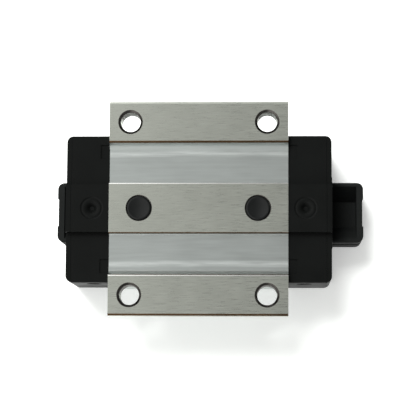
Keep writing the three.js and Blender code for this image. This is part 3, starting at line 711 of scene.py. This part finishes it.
def centre_plugs():
    head, top, bottom = 2.7, PLUG_HIGH.z, PLUG_LOW.z
    for name, end in ENDS:
        profile = [(0, -1.2), (1.4, -1.2), (1.4, bottom), (1.9, bottom), (2.1, -0.95),
                   (head, -0.95), (head, top - 0.16), (head - 0.16, top - 0.02),
                   (head - 0.5, top), (head - 0.62, top - 0.05), (0, top - 0.07)]
        plug = turned("plug", profile, "z", (CENTRE_HOLE_X, 0, 0), 72)
        place(plug, f"plug_{name}", f"plug_{name}", [f"centre_plug_{name}"], "plug_plastic",
              FINISH["plug_plastic"], end, edge=0)


# ------------------------------------------------------------------ ball tracks

def bearing_plates():
    reach = PLATE_HIGH.x
    tip = ROW_Y + RACEWAY_RADIUS * math.cos(math.radians(100))
    outline = [
        (tip, PLATE_HIGH.z), (PLATE_HIGH.y, PLATE_HIGH.z),
        (PLATE_HIGH.y, PLATE_LOW.z), (tip, PLATE_LOW.z),
        *arc(ROW_Y, ROWS[1][1], RACEWAY_RADIUS, -100, 10, 16),
        *arc(ROW_Y, ROWS[0][1], RACEWAY_RADIUS, -10, 100, 16),
    ]
    plate = prism("plate", outline, -reach, reach, "x")
    for name, side in SIDES:
        place(plate, f"raceway_{name}", "carriage", [f"bearing_plate_{name}"], "hardened_steel",
              FINISH["hardened_steel"], 1, side, 0.06, shared=True)
    bpy.data.objects.remove(plate)


def loop_point(s):
    """A point a distance s along a ball loop, from the loaded row's rear end."""
    straight, turn = 2 * TURN_X, math.pi * TURN_RADIUS
    if s < straight:
        return s - TURN_X, ROW_Y
    if s < straight + turn:
        angle = (s - straight) / TURN_RADIUS
        return TURN_X + TURN_RADIUS * math.sin(angle), TURN_Y - TURN_RADIUS * math.cos(angle)
    if s < 2 * straight + turn:
        return TURN_X - (s - straight - turn), RETURN_Y
    angle = (s - 2 * straight - turn) / TURN_RADIUS
    return -TURN_X - TURN_RADIUS * math.sin(angle), TURN_Y + TURN_RADIUS * math.cos(angle)


def stadium(radius):
    return [*arc(TURN_X, TURN_Y, radius, -90, 90, 20), *arc(-TURN_X, TURN_Y, radius, 90, 270, 20)]


def ball_loops():
    pitch = (4 * TURN_X + 2 * math.pi * TURN_RADIUS) / BALLS_PER_LOOP
    for row, z in ROWS:
        bm = bmesh.new()
        for i in range(BALLS_PER_LOOP):
            x, y = loop_point(i * pitch)
            bmesh.ops.create_icosphere(bm, subdivisions=3, radius=BALL_RADIUS * 0.998,
                                       matrix=Matrix.Translation((x, y, z)))
        balls = as_object("balls", bm)
        band = prism("band", stadium(TURN_RADIUS + 0.3), z - 0.4, z + 0.4, "z")
        cut(band, prism("inside", stadium(TURN_RADIUS - 0.3), z - 1, z + 1, "z"))
        for name, side in SIDES:
            node = [f"ball_chain_{row}_{name}"]
            place(balls, f"balls_{row}_{name}", "carriage", node, "ball_steel",
                  FINISH["ball_steel"], 1, side, 0, shared=True)
            place(band, f"spacer_band_{row}_{name}", "carriage", node, "guide_plastic",
                  FINISH["guide_plastic"], 1, side, 0.05, shared=True)
        bpy.data.objects.remove(balls)
        bpy.data.objects.remove(band)


# ------------------------------------------------------------------ end assemblies

def turn_pocket(side):
    back = CAP_LOW.x - BEYOND
    plan = [(back, -POCKET_RADIUS), *arc(TURN_X, 0, POCKET_RADIUS, -90, 90, 24),
            (back, POCKET_RADIUS)]
    outline = [(x, y + side * TURN_Y) for x, y in plan]
    return prism("pocket", outline, POCKET_BOTTOM, POCKET_TOP, "z")


def end_caps():
    outline = symmetric([*cap_half_section(), *reversed(rail_with_gap(0.4, CAP_LOW.z))])
    cap = with_rounded_corners(prism("cap", outline, CAP_LOW.x, CAP_HIGH.x, "x"))
    back, out = CAP_LOW.x - BEYOND, CAP_HIGH.x + BEYOND
    deep = CAP_LOW.x + CHANNEL_DEPTH
    cutters = [
        rod("port", PORT_RADIUS, back, out, "x", (0, END_PORT_Z)),
        block("duct", back, deep, -0.6, 0.6, CHANNEL_LOW, END_PORT_Z),
        block("channel", back, deep, -CHANNEL_REACH, CHANNEL_REACH, CHANNEL_LOW, CHANNEL_HIGH),
        top_port(CAP_HIGH.z),
    ]
    for side in (1, -1):
        y0, y1 = sorted((side * (CAP_HIGH.y - 2), side * (CAP_HIGH.y + BEYOND)))
        c0, c1 = sorted((side * CLIP_NEAR, side * CLIP_FAR))
        cutters += [
            turn_pocket(side),
            rod("side_port", PORT_RADIUS, y0, y1, "y", (SIDE_PORT_X, SIDE_PORT_Z)),
            side_mouth(side),
            block("clip", back, CAP_LOW.x + CLIP_LENGTH, c0, c1, CAP_TOP - CLIP_DEPTH,
                  CAP_TOP + BEYOND),
        ]
        for screw in (UPPER_SCREW, LOWER_SCREW):
            cutters.append(rod("bore", screw["shank"] + 0.15, back, out, "x",
                               (side * screw["y"], screw["z"]), 32))
    cut(cap, *cutters)
    for name, end in ENDS:
        place(cap, f"cap_{name}", "carriage", [f"end_cap_{name}"], "cap_plastic",
              FINISH["cap_plastic"], end, 1, 0.07, shared=True)
    bpy.data.objects.remove(cap)


def side_mouth(side):
    """Countersink of a side port."""
    inside, outside = CAP_HIGH.y - 0.3, CAP_HIGH.y + 0.05
    profile = [(0, inside), (PORT_RADIUS, inside), (PORT_RADIUS + 0.35, outside), (0, outside)]
    profile = [(radius, side * run) for radius, run in profile]
    return turned("side_mouth", profile, "y", (SIDE_PORT_X, 0, SIDE_PORT_Z))


def with_rounded_corners(obj):
    """Rounds the two outer corners of an end assembly's plan."""
    radius, half, outer = CAP_CORNER_RADIUS, CAP_HIGH.y, COVER_HIGH.x
    rounded = symmetric([(half + 1, CAP_LOW.x - 1), (half + 1, outer - radius),
                         *arc(half - radius, outer - radius, radius, 0, 90, 12)])
    plan = prism("plan", [(x, y) for y, x in rounded], CAP_LOW.z - 1, 1, "z")
    return combine(obj, [plan], "INTERSECT")


def top_port(top):
    """Closed lubrication port in the centre block: a raised ring in a shallow round recess."""
    profile = [(0, top - 1.1), (0.45, top - 1.05), (1.05, top - 0.38), (1.3, top - 0.17),
               (1.75, top - 0.1), (2.05, top - 0.1), (2.2, top - 0.17), (2.35, top - 0.13),
               (2.55, top), (2.55, top + 1), (0, top + 1)]
    return turned("top_port", profile, "z", (TOP_PORT_X, 0, 0), 64)


def cover_plates():
    inner, outer, gap = COVER_LOW.x, COVER_HIGH.x, 0.05
    opening = [(8.6, CAP_LOW.z), (8.6, -7.9), *arc(7.6, -7.9, 1.0, 0, 90, 6)]
    section = symmetric([*cap_half_section(), *opening])
    cover = with_rounded_corners(prism("cover", section, inner, outer, "x"))
    cutters = [
        rod("port", PORT_RADIUS, inner - 1, outer + 1, "x", (0, END_PORT_Z)),
        block("seal_seat", inner - BEYOND, SEAL_FACE + gap, -SEAL_HALF - gap, SEAL_HALF + gap,
              CAP_LOW.z - BEYOND, SEAL_TOP + gap),
    ]
    for side in (1, -1):
        for screw in (UPPER_SCREW, LOWER_SCREW):
            centre = (side * screw["y"], screw["z"])
            cutters.append(rod("bore", screw["shank"] + 0.15, inner - 1, outer + 1, "x", centre, 32))
            cutters.append(rod("seat", screw["head"] + 0.1, SCREW_SEAT - 0.05, outer + 1, "x", centre))
    cut(cover, *cutters)
    for name, end in ENDS:
        place(cover, f"cover_{name}", "carriage", [f"cover_plate_{name}"], "cap_plastic",
              FINISH["cap_plastic"], end, 1, 0.07, shared=True)
    bpy.data.objects.remove(cover)


def end_seals():
    back, lip_end, foot = SEAL_LOW.x, SEAL_HIGH.x, SEAL_LOW.z
    inside = list(reversed(rail_with_gap(0.08, foot)))
    outside = [(SEAL_HALF, SEAL_TOP), (SEAL_HALF, foot)]
    plate = prism("plate", symmetric([*outside, *inside]), back, SEAL_FACE, "x")
    lip = prism("lip", symmetric([*rail_with_gap(0.5, foot), *inside]), SEAL_FACE, lip_end, "x")
    join(plate, lip)
    for name, end in ENDS:
        place(plate, f"wiper_{name}", "carriage", [f"end_seal_{name}"], "seal_rubber",
              FINISH["seal_rubber"], end, 1, 0.1, shared=True)
    bpy.data.objects.remove(plate)


def hexagon(radius, centre):
    return [(centre[0] + a, centre[1] + b) for a, b in arc(0, 0, radius, 0, 300, 5)]


def cap_screw(screw):
    centre = (screw["y"], screw["z"])
    place_at = (0, screw["y"], screw["z"])
    head, top = screw["head"], SCREW_TOP
    body = turned("head", [(0, SCREW_SEAT), (head, SCREW_SEAT), (head, top - 0.2),
                           *arc(head - 0.2, top - 0.2, 0.2, 0, 90, 4), (0, top)], "x", place_at)
    shank = threaded("shank", screw["shank"] - 0.2, 0.19, 0.45, SCREW_TIP, SCREW_SEAT + 0.1, "x",
                     centre, 28)
    join(body, shank)
    return cut(body, prism("socket", hexagon(screw["socket"], centre), top - 0.45, top + 1, "x"))


def cap_screws():
    for row, screw in (("upper", UPPER_SCREW), ("lower", LOWER_SCREW)):
        shape = cap_screw(screw)
        for end_name, end in ENDS:
            for side_name, side in SIDES:
                name = f"{end_name}_{row}_{side_name}"
                place(shape, f"screw_{name}", "carriage", [f"cap_screw_{name}"],
                      "black_oxide_steel", FINISH["black_oxide"], end, side, 0.04, shared=True)
        bpy.data.objects.remove(shape)


def port_screw(axis, centre, top, length, socket_depth):
    body = threaded("grub", 1.22, 0.16, 0.5, top - length, top - 0.15, axis, centre, 40)
    across = turn_to(axis, centre[0], centre[1], 0)
    crown = turned("crown", [(0, top - 0.3), (1.36, top - 0.3), (1.36, top - 0.15),
                             (1.2, top), (0, top)], axis, across)
    join(body, crown)
    return cut(body, prism("socket", hexagon(0.8, centre), top - socket_depth, top + 1, axis))


def port_screws():
    top = COVER_HIGH.x - 0.3
    shape = port_screw("x", (0, END_PORT_Z), top, 3.4, 1.4)
    for name, end in ENDS:
        place(shape, f"grub_end_{name}", "carriage", [f"end_port_screw_{name}"],
              "black_oxide_steel", FINISH["black_oxide"], end, 1, 0.03, shared=True)
    bpy.data.objects.remove(shape)
    shape = port_screw("y", (SIDE_PORT_X, SIDE_PORT_Z), CAP_HIGH.y - 0.2, 1.6, 0.8)
    for end_name, end in ENDS:
        for side_name, side in SIDES:
            name = f"{end_name}_{side_name}"
            place(shape, f"grub_side_{name}", "carriage", [f"side_port_screw_{name}"],
                  "black_oxide_steel", FINISH["black_oxide"], end, side, 0.03, shared=True)
    bpy.data.objects.remove(shape)


# ------------------------------------------------------------------ transport arbor

def arbor_plan():
    rear, front, half, radius = ARBOR_LOW.x, ARBOR_HIGH.x, ARBOR_HIGH.y, ARBOR_CORNER
    return [
        *arc(front - radius, half - radius, radius, 90, 0),
        *arc(front - radius, radius - half, radius, 0, -90),
        *arc(rear + radius, radius - half, radius, -90, -180),
        *arc(rear + radius, half - radius, radius, 180, 90),
    ]


def arbor():
    top, foot, half = ARBOR_HIGH.z, ARBOR_LOW.z, ARBOR_HIGH.y
    rear, front = ARBOR_LOW.x, ARBOR_HIGH.x
    above, below = top + BEYOND, foot - BEYOND
    section = rail_half(ARBOR_GROOVE_RADIUS, half, top, ARBOR_TOP_HALF, top - ARBOR_SHOULDER, foot)
    bar = prism("arbor", symmetric(section), rear, front, "x")
    combine(bar, [prism("plan", arbor_plan(), below, above, "z")], "INTERSECT")

    inside_rear, inside_front = rear + ARBOR_WALL, front - ARBOR_WALL
    slope = (TROUGH_RIM_HALF - TROUGH_FLOOR_HALF) / (top - TROUGH_FLOOR)
    trough = symmetric([
        (TROUGH_RIM_HALF + slope * BEYOND, above),
        (TROUGH_RIM_HALF, top),
        (TROUGH_FLOOR_HALF, TROUGH_FLOOR),
    ])
    wide, deep = ARBOR_RECESS_HALF, ARBOR_RECESS_DEPTH
    cutters = [
        prism("trough", trough, inside_rear, inside_front, "x"),
        block("front_recess", front - deep, front + BEYOND, -wide, wide, below, above),
        block("rear_recess", rear - BEYOND, rear + deep, -wide, wide, below, above),
    ]
    pitch = (inside_front - inside_rear + ARBOR_RIB) / ARBOR_POCKETS
    for i in range(ARBOR_POCKETS):
        x0 = inside_rear + i * pitch
        cutters.append(block("core", x0, x0 + pitch - ARBOR_RIB, -ARBOR_POCKET_HALF,
                             ARBOR_POCKET_HALF, below, TROUGH_FLOOR - ARBOR_FLOOR))
    cut(bar, *cutters)
    place(bar, "arbor", "arbor", ["transport_arbor"], "arbor_plastic", FINISH["arbor_plastic"],
          edge=0.16)


# ------------------------------------------------------------------ CAD nodes that stay

def kept_nodes():
    finishes = {
        "ball_retainer": ("guide_plastic", 0.08),
        "return_tube": ("guide_plastic", 0),
        "return_guide": ("guide_plastic", 0.04),
        "lube_insert": ("oiled_felt", 0.08),
        "side_seal": ("seal_rubber", 0.08),
    }
    for name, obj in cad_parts.items():
        for start, (finish, edge) in finishes.items():
            if name.startswith(start):
                obj.data.materials.clear()
                obj.data.materials.append(FINISH[finish])
                weld = obj.modifiers.new("weld", "WELD")
                weld.merge_threshold = WELD_DISTANCE
                if edge:
                    bevel_edges(obj, edge)


# ------------------------------------------------------------------ floor, light and camera

def floor():
    """A pale floor that can't be seen from below."""
    z = cad_box[0][2] - FLOOR_DROP * MM
    mesh = bpy.data.meshes.new("floor")
    signs = ((-1, -1), (1, -1), (1, 1), (-1, 1))
    corners = [(x * FLOOR_HALF, y * FLOOR_HALF, z) for x, y in signs]
    mesh.from_pydata(corners, [], [(0, 1, 2, 3)])
    obj = bpy.data.objects.new("floor", mesh)
    bpy.context.scene.collection.objects.link(obj)
    material, tree, shader = node_material("floor")
    shader.inputs["Base Color"].default_value = (0.80, 0.82, 0.80, 1)
    shader.inputs["Roughness"].default_value = 0.9
    shader.inputs["Specular IOR Level"].default_value = 0.1
    shader.inputs["Emission Color"].default_value = (1, 1, 1, 1)
    shader.inputs["Emission Strength"].default_value = FLOOR_GLOW
    see_through = tree.nodes.new("ShaderNodeBsdfTransparent")
    facing = tree.nodes.new("ShaderNodeNewGeometry")
    either = tree.nodes.new("ShaderNodeMixShader")
    output = tree.nodes["Material Output"]
    tree.links.new(facing.outputs["Backfacing"], either.inputs["Fac"])
    tree.links.new(shader.outputs["BSDF"], either.inputs[1])
    tree.links.new(see_through.outputs["BSDF"], either.inputs[2])
    tree.links.new(either.outputs["Shader"], output.inputs["Surface"])
    mesh.materials.append(material)


def key_light():
    """A square soft light that looks at the object but isn't mirrored in it."""
    x, y = (math.sin(math.radians(tilt)) for tilt in KEY_TILT)
    direction = Vector((x, y, math.sqrt(1 - x * x - y * y)))
    light = bpy.data.lights.new("key", "AREA")
    light.size = KEY_SIZE
    light.energy = KEY_POWER
    obj = bpy.data.objects.new("key", light)
    obj.location = direction * KEY_DISTANCE
    obj.rotation_euler = direction.to_track_quat("Z", "Y").to_euler()
    obj.visible_glossy = False
    bpy.context.scene.collection.objects.link(obj)


def ramp(tree, value, start, end, low, high):
    """A number that eases from low to high as value goes from start to end."""
    node = tree.nodes.new("ShaderNodeMapRange")
    node.interpolation_type = "SMOOTHSTEP"
    for key, number in (("From Min", start), ("From Max", end), ("To Min", low), ("To Max", high)):
        node.inputs[key].default_value = number
    tree.links.new(value, node.inputs["Value"])
    return node.outputs["Result"]


def bands(tree, value, stops, colour):
    """A colour whose brightness runs through stops of (place between -1 and 1, brightness)."""
    node = tree.nodes.new("ShaderNodeValToRGB")
    node.color_ramp.interpolation = "EASE"
    elements = node.color_ramp.elements
    while len(elements) < len(stops):
        elements.new(0.5)
    for element, (where, level) in zip(elements, stops):
        element.position = (where + 1) / 2
        element.color = (*(level * channel for channel in colour), 1)
    tree.links.new(calculate(tree, "MULTIPLY_ADD", value, 0.5, 0.5), node.inputs["Fac"])
    return node.outputs["Color"]


def studio():
    """Soft light from all round, brighter to the left, with a dark place for the lens."""
    world = bpy.data.worlds.new("studio")
    world.use_nodes = True
    bpy.context.scene.world = world
    tree = world.node_tree
    where = tree.nodes.new("ShaderNodeTexCoord")
    split = tree.nodes.new("ShaderNodeSeparateXYZ")
    tree.links.new(where.outputs["Generated"], split.inputs["Vector"])
    across = ramp(tree, split.outputs["X"], *SKY_SLOPE_X, *SKY_LEFT_RIGHT)
    dot = tree.nodes.new("ShaderNodeVectorMath")
    dot.operation = "DOT_PRODUCT"
    dot.inputs[1].default_value = VIEW_DIRECTION
    tree.links.new(where.outputs["Generated"], dot.inputs[0])
    lens = ramp(tree, dot.outputs["Value"], SKY_LENS_EDGE, SKY_LENS_CORE, 1.0, SKY_LENS)
    sky = bands(tree, split.outputs["Y"], SKY_ALONG_Y, SKY_TINT)
    background = tree.nodes["Background"]
    tree.links.new(sky, background.inputs["Color"])
    tree.links.new(calculate(tree, "MULTIPLY", across, lens), background.inputs["Strength"])
    key_light()


def camera():
    view = bpy.data.cameras.new("camera")
    view.sensor_width = 36
    view.lens = 36 * VIEW_DISTANCE / VIEW_WIDTH
    view.clip_start = 0.01
    obj = bpy.data.objects.new("camera", view)
    obj.location = Vector(VIEW_AIM) * MM + VIEW_DIRECTION * VIEW_DISTANCE * MM
    back = VIEW_DIRECTION
    right = Vector((1, 0, 0)) - back * back.x
    right.normalize()
    up = back.cross(right)
    obj.rotation_euler = Matrix((right, up, back)).transposed().to_euler()
    bpy.context.scene.collection.objects.link(obj)
    bpy.context.scene.camera = obj


camera()
studio()
floor()
steel_body()
centre_plugs()
bearing_plates()
ball_loops()
end_caps()
cover_plates()
end_seals()
cap_screws()
port_screws()
arbor()
kept_nodes()

bpy.context.scene.view_settings.view_transform = "Standard"
